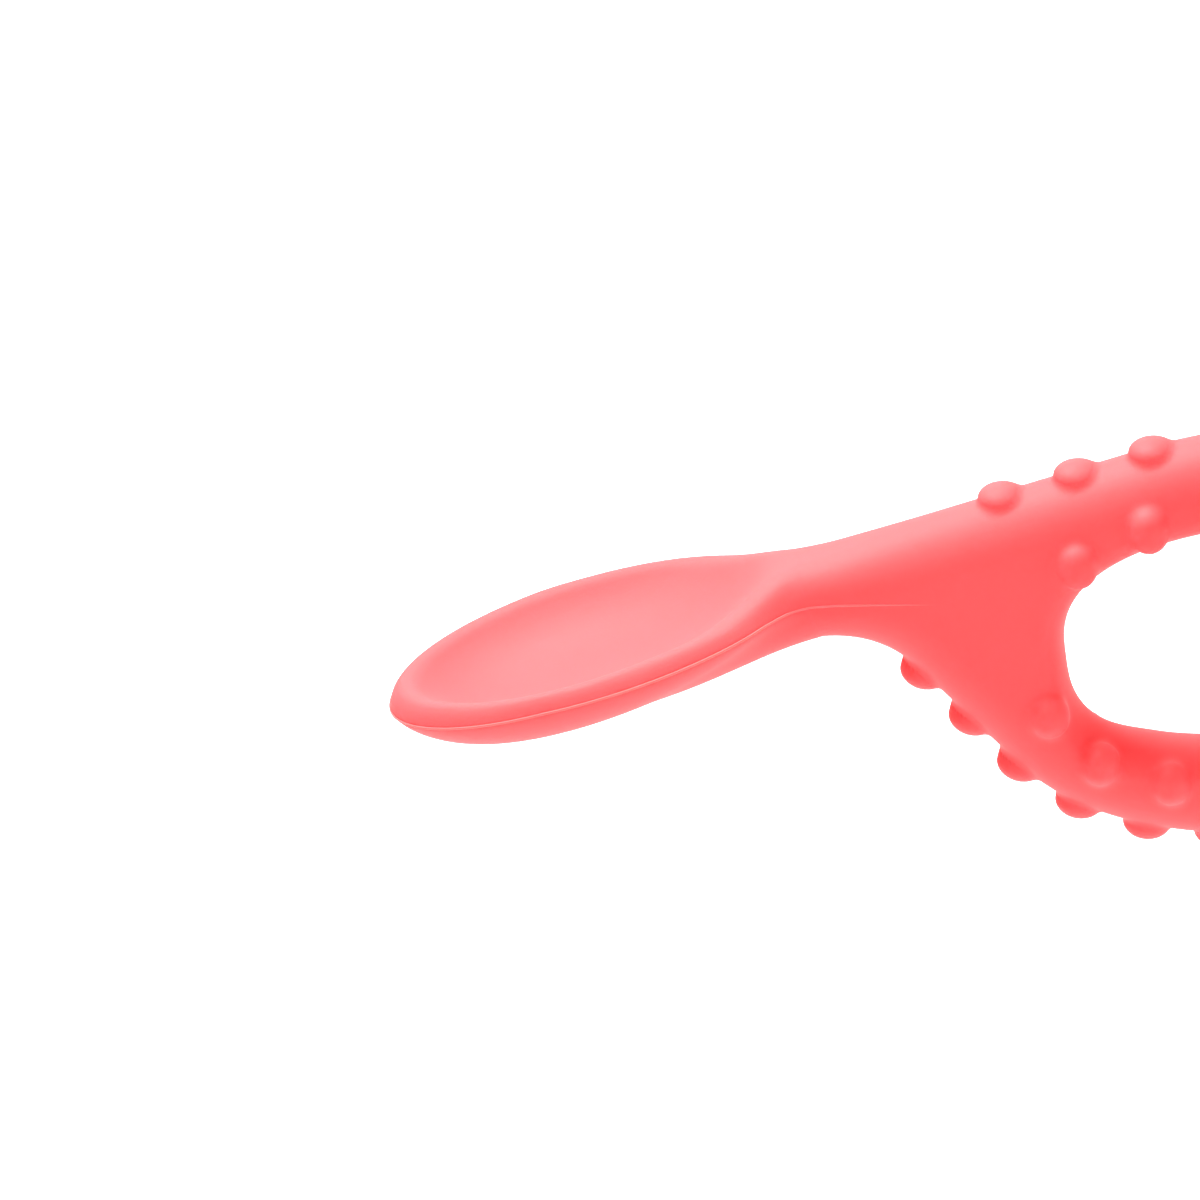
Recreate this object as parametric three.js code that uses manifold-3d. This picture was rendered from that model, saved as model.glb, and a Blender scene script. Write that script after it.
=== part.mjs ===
// Training spoon with a finger loop, in soft silicone. Millimetres, +Z up.
// The origin is the middle of the bowl's flat sole. +X runs from the bowl to the loop,
// the rim lies level, and the loop stands upright in the XZ plane and hangs below the bowl.

import * as THREE from 'three';
import { mergeVertices } from 'three/addons/utils/BufferGeometryUtils.js';
import Module from 'manifold-3d';

// Bowl
const TIP_REACH = 22.2; // origin to the tip
const HEEL_REACH = 25; // origin to the end of the oval at the neck
const BOWL_HALF_WIDTH = 14.6;
const TIP_RIM_HEIGHT = 7.1;
const HEEL_RIM_HEIGHT = 6.2; // where the rim runs out into the neck
const RIM_WIDTH = 2.9; // across the rolled rim at the widest part
const RIM_DROP = 0.6; // from the rim's top to its inner edge
const BULGE_HEIGHT = 4.8; // height of the widest line round the wall, at the tip
const FLOOR_HEIGHT = 1.6; // silicone under the hollow
const SOLE_HALF_WIDTH = 9.5;
const HOLLOW_POWER = 3.4; // flat floor and steep wall

// Neck and flare
const NECK_TOP = 6.2;
const NECK_HEIGHT = 8.2;
const NECK_ROOT_X = 8; // where the neck starts under the bowl
const NECK_ROOT_HALF_WIDTH = 11.5;
const NECK_FULLNESS = 3.2; // superellipse exponent of its sections, 2 is an ellipse
const UNDERSIDE_SLOPE = THREE.MathUtils.degToRad(15.7);
const SEAM_X = 26; // plane between the bowl and the handle
const SEAM_GAP = 0.3;
const BODY_WIDTH = 10.8; // of the neck, flare and loop, along Y
const EDGE_ROUND = 3.6;
const ARCH_STANDOFF = 8.2; // from the arch's corner to the loop's near end, along X
const ARCH_RUN = 6.5; // from the arch's corner to where its curve starts

// Finger loop
const FLARE_LENGTH = 24.1; // from the seam to the hole, along X
const HOLE_DROP = 20.85; // from the neck's top to the hole's near end, along Z
const HOLE_DIP = THREE.MathUtils.degToRad(13);
const LOOP_DIP = THREE.MathUtils.degToRad(14.5);
const HOLE_NEAR = 26; // from the hole's widest place to its end at the flare
const HOLE_FAR = 22.6;
const HOLE_HALF_HEIGHT = 13.9;
const ARM = 10.1; // height of the arms round the hole
const HOLE_FULLNESS = 2.6; // superellipse exponent of the hole's near half
const LOOP_FULLNESS = 2.3; // and of the loop's outer near half
const FAR_FULLNESS = 2.1; // and of both far halves

// Nubs
const NUB_DIAMETER = 4.9;
const NUB_HEIGHT = 2.2;
const NUB_ROOT = 1.6; // how far a nub's foot follows the body round its edge
const SEAT_GAP = 0.3;
const RIDGE_NUBS = 22;
const RIDGE_START = 1.2; // from the arch's curve to the first nub
const RIDGE_END = 49.4; // X of the last nub, on the neck's straight top line
const RIDGE_CROWDING = 0.044; // closer under the loop than above it
const FACE_NUBS = 16;
const FACE_SHIFT = 1.3; // from the middle of the arm towards the hole
const FACE_LEAN = THREE.MathUtils.degToRad(12);
const FACE_TOP_ANGLE = THREE.MathUtils.degToRad(139);
const FACE_LOW_ANGLE = THREE.MathUtils.degToRad(-165);
const FACE_CROWDING = -0.05;

// Stiffening tongue in the neck
const CORE_WIDTH = 5;
const CORE_THICKNESS = 2;
const CORE_IN_BOWL = 8; // from the seam into the bowl
const CORE_IN_FLARE = 20; // from the seam into the flare
const CORE_DEPTH = 3.3; // from the neck's top to the tongue's top
const CORE_CLEARANCE = 0.3;

// Facets
const BOWL_STEPS = 44;
const PROFILE_STEPS = 5;
const LOOP_STEPS = 60;
const ARCH_STEPS = 6;
const EDGE_STEPS = 3;
const NECK_STEPS = 7;
const NECK_SIDES = 24;
const NUB_SIDES = 12;
const NUB_STEPS = 3;
const CORE_SIDES = 8;
const WELD = 1e-4;
const STUB = 1; // handle beyond its rounded end, before it is cut at the seam
const EDGE_SHARE = 0.48; // the most of a wall that a rounded edge may take
const HALVINGS = 60;
const FAR_AWAY = 500;

const CORAL = 0xf96a6c;
const NYLON = 0xe9e4da;

const wasm = await Module();
wasm.setup();

// A closed geometry as a solid that can be joined and cut.
function solidOf(geometry) {
  const bare = geometry.clone();
  bare.deleteAttribute('normal');
  bare.deleteAttribute('uv');
  const welded = mergeVertices(bare, WELD);
  const corners = welded.index.array;
  const triangles = [];
  for (let i = 0; i < corners.length; i += 3) {
    const [a, b, c] = [corners[i], corners[i + 1], corners[i + 2]];
    if (a !== b && b !== c && c !== a) triangles.push(a, b, c);
  }
  return new wasm.Manifold(new wasm.Mesh({
    numProp: 3,
    vertProperties: new Float32Array(welded.attributes.position.array),
    triVerts: new Uint32Array(triangles),
  }));
}

// A solid as a geometry that a mesh can show.
function geometryOf(solid) {
  const { vertProperties, triVerts } = solid.getMesh();
  const geometry = new THREE.BufferGeometry();
  geometry.setAttribute('position', new THREE.BufferAttribute(vertProperties, 3));
  geometry.setIndex(new THREE.BufferAttribute(triVerts, 1));
  geometry.computeVertexNormals();
  return geometry;
}

function boxSolid(low, high) {
  const size = high.clone().sub(low);
  const middle = high.clone().add(low).multiplyScalar(0.5);
  const box = new THREE.BoxGeometry(size.x, size.y, size.z);
  return solidOf(box.translate(middle.x, middle.y, middle.z));
}

function signedPower(value, exponent) {
  return Math.sign(value) * Math.abs(value) ** exponent;
}

// Points of a quarter of an ellipse, from angle to angle, both ends included.
function ellipseArc(centre, radii, from, to, steps) {
  const points = [];
  for (let i = 0; i <= steps; i += 1) {
    const angle = THREE.MathUtils.lerp(from, to, i / steps);
    points.push(new THREE.Vector2(
      centre.x + radii.x * Math.cos(angle),
      centre.y + radii.y * Math.sin(angle),
    ));
  }
  return points;
}

// Bowl outline

const rimInner = 1 - RIM_WIDTH / BOWL_HALF_WIDTH;
const rimMiddle = 1 - RIM_WIDTH / BOWL_HALF_WIDTH / 2;
const soleShare = SOLE_HALF_WIDTH / BOWL_HALF_WIDTH;
const rimEdge = TIP_RIM_HEIGHT - RIM_DROP;

// The hollow from its inner rim edge down to the middle of its floor.
function hollowProfile() {
  const points = [];
  for (let i = PROFILE_STEPS; i >= 0; i -= 1) {
    const share = i / PROFILE_STEPS;
    points.push(new THREE.Vector2(
      rimInner * share,
      FLOOR_HEIGHT + (rimEdge - FLOOR_HEIGHT) * share ** HOLLOW_POWER,
    ));
  }
  return points;
}

// The dish from the middle of the sole, up the wall, over the rim and down into the hollow.
// Its first number is a share of the outline's reach, its second a height.
function dishProfile() {
  const quarter = Math.PI / 2;
  const wallCentre = new THREE.Vector2(soleShare, BULGE_HEIGHT);
  const wall = ellipseArc(wallCentre, new THREE.Vector2(1 - soleShare, BULGE_HEIGHT), -quarter, 0, PROFILE_STEPS);
  const rimOut = ellipseArc(
    new THREE.Vector2(rimMiddle, BULGE_HEIGHT),
    new THREE.Vector2(1 - rimMiddle, TIP_RIM_HEIGHT - BULGE_HEIGHT), 0, quarter, PROFILE_STEPS,
  );
  const rimIn = ellipseArc(
    new THREE.Vector2(rimMiddle, rimEdge),
    new THREE.Vector2(rimMiddle - rimInner, RIM_DROP), quarter, 2 * quarter, PROFILE_STEPS,
  );
  const axisFoot = new THREE.Vector2(0, 0);
  return [axisFoot, ...wall, ...rimOut.slice(1), ...rimIn.slice(1), ...hollowProfile().slice(1)];
}

// What has to stay empty inside the rim, up to well above it.
function hollowFillProfile() {
  const lid = TIP_RIM_HEIGHT + NECK_HEIGHT;
  const hollow = hollowProfile().reverse();
  return [...hollow, new THREE.Vector2(rimInner, lid), new THREE.Vector2(0, lid)];
}

// A lathe whose circles are stretched to the bowl's oval, and whose heights fall from the tip to the neck.
function ovalLathe(profile) {
  const geometry = new THREE.LatheGeometry(profile, BOWL_STEPS).rotateX(Math.PI / 2);
  const position = geometry.attributes.position;
  for (let i = 0; i < position.count; i += 1) {
    const x = position.getX(i);
    const along = x * (x < 0 ? TIP_REACH : HEEL_REACH);
    const across = position.getY(i) * BOWL_HALF_WIDTH;
    const fall = (along + TIP_REACH) / (HEEL_REACH + TIP_REACH);
    const height = THREE.MathUtils.lerp(TIP_RIM_HEIGHT, HEEL_RIM_HEIGHT, fall) / TIP_RIM_HEIGHT;
    position.setXYZ(i, along, across, position.getZ(i) * height);
  }
  return solidOf(geometry);
}

// Neck root: rounded sections from under the bowl to the seam

const neckBottom = NECK_TOP - NECK_HEIGHT;

function neckSection(x) {
  const share = THREE.MathUtils.smoothstep(x, NECK_ROOT_X, SEAM_X);
  const halfWidth = THREE.MathUtils.lerp(NECK_ROOT_HALF_WIDTH, BODY_WIDTH / 2, share);
  const bottom = (neckBottom * (x - NECK_ROOT_X)) / (SEAM_X - NECK_ROOT_X);
  const middle = (NECK_TOP + bottom) / 2;
  const halfHeight = (NECK_TOP - bottom) / 2;
  const ring = [];
  for (let i = 0; i < NECK_SIDES; i += 1) {
    const angle = (2 * Math.PI * i) / NECK_SIDES;
    ring.push(new THREE.Vector3(
      x,
      halfWidth * signedPower(Math.cos(angle), 2 / NECK_FULLNESS),
      middle + halfHeight * signedPower(Math.sin(angle), 2 / NECK_FULLNESS),
    ));
  }
  return ring;
}

// A closed body through rings of equal count that turn from +Y to +Z and follow each other along +X.
function loftedGeometry(rings) {
  const sides = rings[0].length;
  const points = rings.flat();
  const triangles = [];
  for (let row = 0; row + 1 < rings.length; row += 1) {
    for (let i = 0; i < sides; i += 1) {
      const a = row * sides + i;
      const b = row * sides + ((i + 1) % sides);
      triangles.push(a, b, b + sides, a, b + sides, a + sides);
    }
  }
  const last = (rings.length - 1) * sides;
  for (let i = 1; i + 1 < sides; i += 1) {
    triangles.push(0, i + 1, i);
    triangles.push(last, last + i, last + i + 1);
  }
  const geometry = new THREE.BufferGeometry().setFromPoints(points);
  geometry.setIndex(triangles);
  return geometry;
}

function neckRoot() {
  const rings = [];
  for (let i = 0; i <= NECK_STEPS; i += 1) {
    rings.push(neckSection(THREE.MathUtils.lerp(NECK_ROOT_X, SEAM_X, i / NECK_STEPS)));
  }
  return solidOf(loftedGeometry(rings));
}

// Loop curves, in the XZ plane. A 2D vector holds X and Z.

const loopCentre = new THREE.Vector2(
  SEAM_X + FLARE_LENGTH + HOLE_NEAR * Math.cos(HOLE_DIP),
  NECK_TOP - HOLE_DROP - HOLE_NEAR * Math.sin(HOLE_DIP),
);

// A point of the egg that lies a set distance outside the hole, at an angle from the far end.
// From the hole to the loop's outer line the egg's dip and fullness change steadily.
function loopPoint(distance, angle) {
  const share = distance / ARM;
  const isNear = Math.cos(angle) < 0;
  const power = 2 / (isNear ? THREE.MathUtils.lerp(HOLE_FULLNESS, LOOP_FULLNESS, share) : FAR_FULLNESS);
  const reach = (isNear ? HOLE_NEAR : HOLE_FAR) + distance;
  const point = new THREE.Vector2(
    reach * signedPower(Math.cos(angle), power),
    (HOLE_HALF_HEIGHT + distance) * signedPower(Math.sin(angle), power),
  );
  const dip = THREE.MathUtils.lerp(HOLE_DIP, LOOP_DIP, share);
  return point.rotateAround(new THREE.Vector2(), -dip).add(loopCentre);
}

// The angle between two others at which the outer egg's tangent goes through a point.
function tangentAngle(point, from, to) {
  const step = 1e-4;
  const turn = (angle) => {
    const here = loopPoint(ARM, angle);
    const ahead = loopPoint(ARM, angle + step).sub(here);
    return here.sub(point).cross(ahead);
  };
  let [low, high] = [from, to];
  for (let i = 0; i < HALVINGS; i += 1) {
    const middle = (low + high) / 2;
    if (Math.sign(turn(middle)) === Math.sign(turn(low))) low = middle;
    else high = middle;
  }
  return (low + high) / 2;
}

const stubX = SEAM_X - EDGE_ROUND - STUB;
const neckTopPoint = new THREE.Vector2(SEAM_X, NECK_TOP);
const archX = loopPoint(ARM, Math.PI).x - ARCH_STANDOFF;
const archCorner = new THREE.Vector2(archX, neckBottom - Math.tan(UNDERSIDE_SLOPE) * (archX - SEAM_X));
const topAngle = tangentAngle(neckTopPoint, Math.PI / 2, Math.PI);
const lowAngle = tangentAngle(archCorner, -Math.PI, -Math.PI / 2);

function loopArc(distance, from, to, steps) {
  const points = [];
  for (let i = 0; i <= steps; i += 1) {
    points.push(loopPoint(distance, THREE.MathUtils.lerp(from, to, i / steps)));
  }
  return points;
}

const outerArc = loopArc(ARM, topAngle, lowAngle, LOOP_STEPS);
const towardLoop = outerArc[outerArc.length - 1].clone().sub(archCorner).normalize();
const towardNeck = new THREE.Vector2(-Math.cos(UNDERSIDE_SLOPE), Math.sin(UNDERSIDE_SLOPE));
const archEnd = archCorner.clone().addScaledVector(towardLoop, ARCH_RUN);
const archStart = archCorner.clone().addScaledVector(towardNeck, ARCH_RUN);

// Side view of the neck, flare and loop, with the hole.
function handleShape() {
  const arch = new THREE.QuadraticBezierCurve(archEnd, archCorner, archStart).getPoints(ARCH_STEPS);
  const shape = new THREE.Shape([
    new THREE.Vector2(stubX, NECK_TOP),
    neckTopPoint,
    ...outerArc,
    ...arch,
    new THREE.Vector2(SEAM_X, neckBottom),
    new THREE.Vector2(stubX, neckBottom),
  ].reverse());
  shape.holes.push(new THREE.Path(loopArc(0, 0, -2 * Math.PI, LOOP_STEPS).slice(1)));
  return shape;
}

const edgeRound = Math.min(EDGE_ROUND, EDGE_SHARE * Math.min(NECK_HEIGHT, ARM, BODY_WIDTH));

// The handle with rounded edges, grown on all sides by a margin.
function handleSolid(margin) {
  const depth = BODY_WIDTH - 2 * edgeRound;
  const geometry = new THREE.ExtrudeGeometry(handleShape(), {
    depth,
    steps: 1,
    bevelEnabled: true,
    bevelThickness: edgeRound + margin,
    bevelSize: edgeRound + margin,
    bevelOffset: -edgeRound,
    bevelSegments: EDGE_STEPS,
  });
  return solidOf(geometry.translate(0, 0, -depth / 2).rotateX(Math.PI / 2));
}

// Stiffening tongue and its sockets

function tongueGeometry(clearance) {
  const radius = CORE_WIDTH / 2;
  const shape = new THREE.Shape();
  shape.absarc(SEAM_X - CORE_IN_BOWL + radius, 0, radius + clearance, Math.PI / 2, 1.5 * Math.PI);
  shape.absarc(SEAM_X + CORE_IN_FLARE - radius, 0, radius + clearance, -Math.PI / 2, Math.PI / 2);
  const thickness = CORE_THICKNESS + 2 * clearance;
  const top = NECK_TOP - CORE_DEPTH + clearance;
  const geometry = new THREE.ExtrudeGeometry(shape, {
    depth: thickness,
    bevelEnabled: false,
    curveSegments: CORE_SIDES,
  });
  return geometry.translate(0, 0, top - thickness);
}

// Nubs

// A point and a direction of travel at a distance along a line of points.
function alongLine(points, distance) {
  let left = distance;
  for (let i = 0; i + 1 < points.length; i += 1) {
    const step = points[i + 1].clone().sub(points[i]);
    const length = step.length();
    if (left <= length || i + 2 === points.length) {
      const direction = step.divideScalar(length);
      return { point: points[i].clone().addScaledVector(direction, left), direction };
    }
    left -= length;
  }
  return null;
}

function lineLength(points) {
  let length = 0;
  for (let i = 0; i + 1 < points.length; i += 1) length += points[i].distanceTo(points[i + 1]);
  return length;
}

// Shares of a row from 0 to 1, whose spacing grows steadily by the crowding.
function rowShares(count, crowding) {
  return Array.from({ length: count }, (_, i) => {
    const share = i / (count - 1);
    return share + crowding * share * (share - 1);
  });
}

function domeSolid(place, direction) {
  const radius = NUB_DIAMETER / 2;
  const dome = ellipseArc(new THREE.Vector2(), new THREE.Vector2(radius, NUB_HEIGHT), 0, Math.PI / 2, NUB_STEPS);
  dome[NUB_STEPS].x = 0;
  const foot = [new THREE.Vector2(0, -NUB_ROOT), new THREE.Vector2(radius, -NUB_ROOT)];
  const geometry = new THREE.LatheGeometry([...foot, ...dome], NUB_SIDES);
  const turn = new THREE.Quaternion().setFromUnitVectors(new THREE.Vector3(0, 1, 0), direction);
  return solidOf(geometry.applyQuaternion(turn).translate(place.x, place.y, place.z));
}

// Nubs round the outer ridge, from under the flare to the top line.
function ridgeNubs() {
  const ridge = [archEnd, ...outerArc.slice().reverse(), neckTopPoint];
  const topEnd = outerArc[0];
  const spare = topEnd.distanceTo(neckTopPoint) * ((RIDGE_END - SEAM_X) / (topEnd.x - SEAM_X));
  const end = lineLength(ridge) - spare;
  return rowShares(RIDGE_NUBS, RIDGE_CROWDING).map((share) => {
    const { point, direction } = alongLine(ridge, THREE.MathUtils.lerp(RIDGE_START, end, share));
    const outward = new THREE.Vector3(direction.y, 0, -direction.x);
    return domeSolid(new THREE.Vector3(point.x, 0, point.y), outward);
  });
}

// Nubs on one face of the loop, leaning towards the hole. The side is -1 in front and 1 at the back.
function faceNubs(side) {
  const row = loopArc(ARM / 2 - FACE_SHIFT, FACE_TOP_ANGLE, FACE_LOW_ANGLE, LOOP_STEPS);
  const length = lineLength(row);
  return rowShares(FACE_NUBS, FACE_CROWDING).map((share) => {
    const { point, direction } = alongLine(row, share * length);
    const lean = Math.sin(FACE_LEAN);
    const outward = new THREE.Vector3(
      direction.y * lean,
      side * Math.cos(FACE_LEAN),
      -direction.x * lean,
    );
    return domeSolid(new THREE.Vector3(point.x, side * BODY_WIDTH / 2, point.y), outward);
  });
}

// Assembly

const spoon = new THREE.Group();

function addPart(name, geometry, color) {
  const material = new THREE.MeshStandardMaterial({ color, roughness: 0.55, metalness: 0 });
  const mesh = new THREE.Mesh(geometry, material);
  mesh.name = name;
  spoon.add(mesh);
}

const socket = solidOf(tongueGeometry(CORE_CLEARANCE));
const hollowFill = ovalLathe(hollowFillProfile());
const bowl = ovalLathe(dishProfile()).add(neckRoot().subtract(hollowFill)).subtract(socket);
addPart('bowl', geometryOf(bowl), CORAL);

const bowlSide = boxSolid(
  new THREE.Vector3(-FAR_AWAY, -FAR_AWAY, -FAR_AWAY),
  new THREE.Vector3(SEAM_X + SEAM_GAP, FAR_AWAY, FAR_AWAY),
);
const handle = handleSolid(0).subtract(bowlSide).subtract(socket);
addPart('handle_loop', geometryOf(handle), CORAL);
addPart('stiffener_core', geometryOf(solidOf(tongueGeometry(0))), NYLON);

const seat = handleSolid(SEAT_GAP);
const nubRows = { nub_ridge: ridgeNubs(), nub_front: faceNubs(-1), nub_back: faceNubs(1) };
for (const [rowName, nubs] of Object.entries(nubRows)) {
  nubs.forEach((nub, i) => {
    const number = String(i + 1).padStart(2, '0');
    addPart(`${rowName}_${number}`, geometryOf(nub.subtract(seat)), CORAL);
  });
}

export default spoon;
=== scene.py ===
"""Training spoon in soft coral silicone, with an upright finger loop and rows of small nubs.

Sizes are millimetres in the part's own frame, and become metres when a mesh is made.
The stage is in metres.
"""

import math

import bmesh
import bpy
import numpy as np
from mathutils import Matrix, Vector


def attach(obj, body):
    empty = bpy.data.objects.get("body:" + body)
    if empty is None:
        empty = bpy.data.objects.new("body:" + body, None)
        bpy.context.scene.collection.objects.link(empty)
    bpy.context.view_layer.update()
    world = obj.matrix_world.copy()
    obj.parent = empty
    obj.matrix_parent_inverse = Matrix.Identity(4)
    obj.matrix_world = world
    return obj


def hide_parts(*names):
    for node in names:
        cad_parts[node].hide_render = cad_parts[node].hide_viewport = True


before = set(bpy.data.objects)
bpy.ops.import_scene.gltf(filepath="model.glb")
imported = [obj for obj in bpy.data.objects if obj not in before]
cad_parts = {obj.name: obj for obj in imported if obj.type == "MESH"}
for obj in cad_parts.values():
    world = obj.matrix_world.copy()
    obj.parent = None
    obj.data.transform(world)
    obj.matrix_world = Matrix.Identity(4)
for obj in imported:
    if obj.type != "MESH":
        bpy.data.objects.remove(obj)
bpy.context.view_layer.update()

MM = 0.001

# Bowl
TIP_REACH = 22.8
HEEL_REACH = 25.0
BOWL_HALF_WIDTH = 15.4
TIP_RIM_HEIGHT = 7.3
LOW_RIM_HEIGHT = 6.5
LOW_RIM_X = 9.0  # where the rim has come down to its low height
HEEL_RISE = 1.0  # from there up to the neck
HEEL_RISES = (12.0, 24.0)  # X of the rise's two ends
RIM_WIDTH = 2.6
RIM_STEEP = math.radians(30)  # how far the slope over the widest line faces up
RIM_FLAT = math.radians(70)  # and the one over that
RIM_CORNER = 1.65  # where the two meet, over the widest line
RIM_CORNER_BLEND = 0.8
RIM_DROP = 0.6  # the hollow's edge below the rim's height
WALL_FULLNESS = 1.45  # superellipse exponent of the wall below the widest line
LEAST_WALL = 1.0  # that wall's least height
FLOOR_HEIGHT = 1.6
SOLE_HALF_WIDTH = 10.8
HOLLOW_POWER = 3.0  # of the hollow's rise towards the rim
HOLLOW_HEEL = 22.6  # the hollow's own reach towards the neck, longer than the rim's share of it
HOLLOW_LIMIT = 1.5  # share of its oval past which the hollow rises no more
HEEL_POWER = 2.2  # of the hollow's slower rise towards the neck
HEEL_POWER_X = 2.0  # where that sets in
RIM_ROUND = 1.0  # how softly the rim turns into the hollow
HEEL_ROUND = 2.4  # and where the hollow runs out into the neck
HEEL_ROUNDS = (8.0, 22.0)  # X where the one turns into the other

# Neck and flare
NECK_TOP = 6.2
HEEL_TOP = (19.0, 8.0)  # X and Z of the top of the neck's rise towards the bowl's heel
HEEL_FOOT_X = 31.0  # where that rise starts
NECK_HEIGHT = 8.5
NECK_ROOT_X = 2.0  # where the neck starts under the bowl
NECK_SPREAD_X = 5.5  # the neck is widest up to here, under the bowl
NECK_ROOT_HALF_WIDTH = 11.5
UNDERSIDE_SLOPE = math.radians(15.7)
SEAM_X = 26.0
BODY_WIDTH = 10.8
NECK_ROUND = 3.3  # of the neck's edges
OUTER_ROUND = 6.0  # how far in from the loop's outer line its half oval reaches
OUTER_CROWN = 0.5  # the half oval's top over the side view's line
EDGE_GROWS = (20.0, 42.0)  # X where the neck's round edge turns into that half oval
HOLE_ROUND = 3.2  # how far in from the hole's line its half oval reaches
HOLE_CROWN = 0.8  # the lower arm's half oval over the hole's line
CROWN_GROWS = (49.0, 56.0)  # X where that starts and is full
CROWN_DROPS = (0.0, 8.0)  # and how far below the loop's centre
ARCH_STANDOFF = 8.5  # from the corner of the arch under the neck to the loop, along X
ARCH_RUN = 6.5  # from that corner to the arch's two ends
NECK_BLEND = 3.0  # soft fillet between the bowl's wall and the neck, at the seam
ROOT_BLEND = 0.4  # and where the neck starts
TOP_BLEND = 0.4  # how softly both end at the rim's height

# Finger loop
FLARE_LENGTH = 24.1  # from the seam to the hole's near end, along X
HOLE_DROP = 20.85  # from the neck's top down to it
HOLE_DIP = math.radians(13)  # how far the hole is turned down
LOOP_DIP = math.radians(14.5)  # and the loop's outer line
HOLE_NEAR = 26.0  # from the loop's centre to the hole's near end
HOLE_FAR = 22.6
HOLE_HALF_HEIGHT = 13.9
ARM = 10.1
HOLE_FULLNESS = 2.6  # superellipse exponent of the hole's near half
HOLE_LOW_FULLNESS = 2.9  # of its lower corner by the flare
LOOP_FULLNESS = 2.3  # of the outer line's near half
FAR_FULLNESS = 2.1  # of the far half

# Nubs
RIDGE_NUB_RADIUS = 2.75
RIDGE_NUB_HEIGHTS = (2.0, 1.65)  # along the lower arm and along the upper one
RIDGE_NUB_SINKS = (0.0, 0.3)  # how far below the ridge it starts, in the same order
RIDGE_NUB_FOOT = 3.0  # deep enough for its low side where the ridge slopes
RIDGE_NUB_LEANS = (0.7, 0.85)  # towards the mould's pull, in the same order
RIDGE_NUB_BLEND = 0.6  # soft fillet round its foot
FACE_NUB_RADIUS = 2.2
FACE_NUB_HEIGHT = 2.3
FACE_NUB_SINK = 0.5  # how far below the skin a face nub's round has its centre
FACE_NUB_FOOT = 1.8
FACE_NUB_TAILS = (0.6, 1.2)  # how far it is drawn out towards the hole, in the same order
FACE_NUB_BLEND = 0.8
TAIL_FULL = 0.5  # how far from the loop's centre a tail is full, as a share of the hole's half height
TAIL_EDGE = 0.12  # how squarely a nub's side faces the pull where it is drawn out in full
ARMS_MEET = (-0.5, 0.5)  # share of the way up where the lower arm's values turn into the upper one's
LEAN_GROWS = (0.3, 0.7)  # how squarely the ridge faces the pull where its nubs' lean starts and is full
NUB_SIDES = 32
NUB_STEPS = 12
NUB_INSET = 0.01  # how far the skin stays below a nub's own surface
NUB_REACH = 5.0  # from a nub's place to where its fillet has surely ended
RIDGE_NUBS = 22
RIDGE_START = 1.2  # along the ridge, from the arch to the first nub
RIDGE_END = 49.8  # X of the last one
RIDGE_CROWDING = 0.06  # how much the spacing grows along the row
RIDGE_SPREAD = 0.015  # how much wider both ends of the row are spaced than its middle
FACE_NUBS = 16
FRONT_ROW = (2.6, 4.1)  # distances from the hole, along the lower arm and along the upper one
BACK_ROW = (4.1, 4.1)
FACE_LEANS = (math.radians(22), math.radians(6))  # towards the hole, in the same order
FACE_TOP_ANGLE = math.radians(137)  # of the first nub, round the loop from its far end
FACE_LOW_ANGLE = math.radians(-167)  # and of the last one
FACE_CROWDING = -0.043
FACE_SPREAD = 0.033

# Mould's pull and parting line
PULL_LEAN = math.radians(20)
PULL = np.array([math.sin(PULL_LEAN), 0, math.cos(PULL_LEAN)])
PARTING_HEIGHTS = (  # X and Z round the bowl and along the neck
    [-22.2, -4.5, 5, 13.5, 21, 23.5, 26, 29, 33, 40],
    [5.1, 4.9, 4.4, 4.0, 3.6, 3.3, 2.75, 1.9, 0.55, -2.0],
)
PARTING_TURN = 25.0  # X where it leaves the bowl's oval
PARTING_END = 40.0  # X of its two ends
PARTING_FADE = 11.0  # length over which it sinks in there
PARTING_WIDTH = 0.28
PARTING_RISE = 0.08
PARTING_SIDES = 8
PARTING_BOWL_STEPS = 420
PARTING_NECK_STEPS = 60
PARTING_ROUNDS = 3  # of the search round the bowl
PARTING_SEARCH = (0.93, 0.6)  # share of the oval where that starts, and how far out it goes

# Stiffening tongue's socket
CORE_WIDTH = 5.0
CORE_THICKNESS = 2.0
CORE_IN_BOWL = 8.0
CORE_IN_FLARE = 20.0
CORE_DEPTH = 3.3  # from the neck's top down to the tongue's
CORE_CLEARANCE = 0.3

# Sampling
NET_STEP = 0.4  # side of the cubes that the silicone is sampled in
NET_COUNT = np.array([336, 79, 146])  # lines of their corners along the three axes
NET_FLOOR = -49.6  # Z of the lowest corners
SEAM_CUBE = 124  # number of the cube along X that has the seam in its middle
MAP_STEP = 0.25  # side of the squares of the side view's distance map
MAP_MARGIN = 1.0  # how far that reaches past the cubes
MAP_END = 1.001  # keeps a read off the map's last line
MAP_BATCH = 4000  # points of the map that are worked out at a time
LOOP_STEPS = 240
CORNER_STEPS = 40
TANGENT_TRIES = 40001
ANGLE_STEP = 1e-4
HALVINGS = 40
SETTLE_ROUNDS = 4
SETTLE_MOVE = NET_STEP / 3  # the longest move of a round
LEAST_SLOPE_SQUARED = 0.25  # that a move is worked out with
SLOPE_STEP = 0.02
TINY = 1e-4  # keeps a divisor off zero
TINY_RISE = 1e-5

neck_bottom = NECK_TOP - NECK_HEIGHT
rim_inner = 1 - RIM_WIDTH / BOWL_HALF_WIDTH
sole_share = SOLE_HALF_WIDTH / BOWL_HALF_WIDTH


def lerp(a, b, share):
    """The value a share of the way from a to b."""
    return a + (b - a) * share


def ease(value, low, high):
    """0 below low, 1 above high, and 3 t^2 - 2 t^3 between them."""
    share = np.clip((value - low) / (high - low), 0, 1)
    return share * share * (3 - 2 * share)


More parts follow.
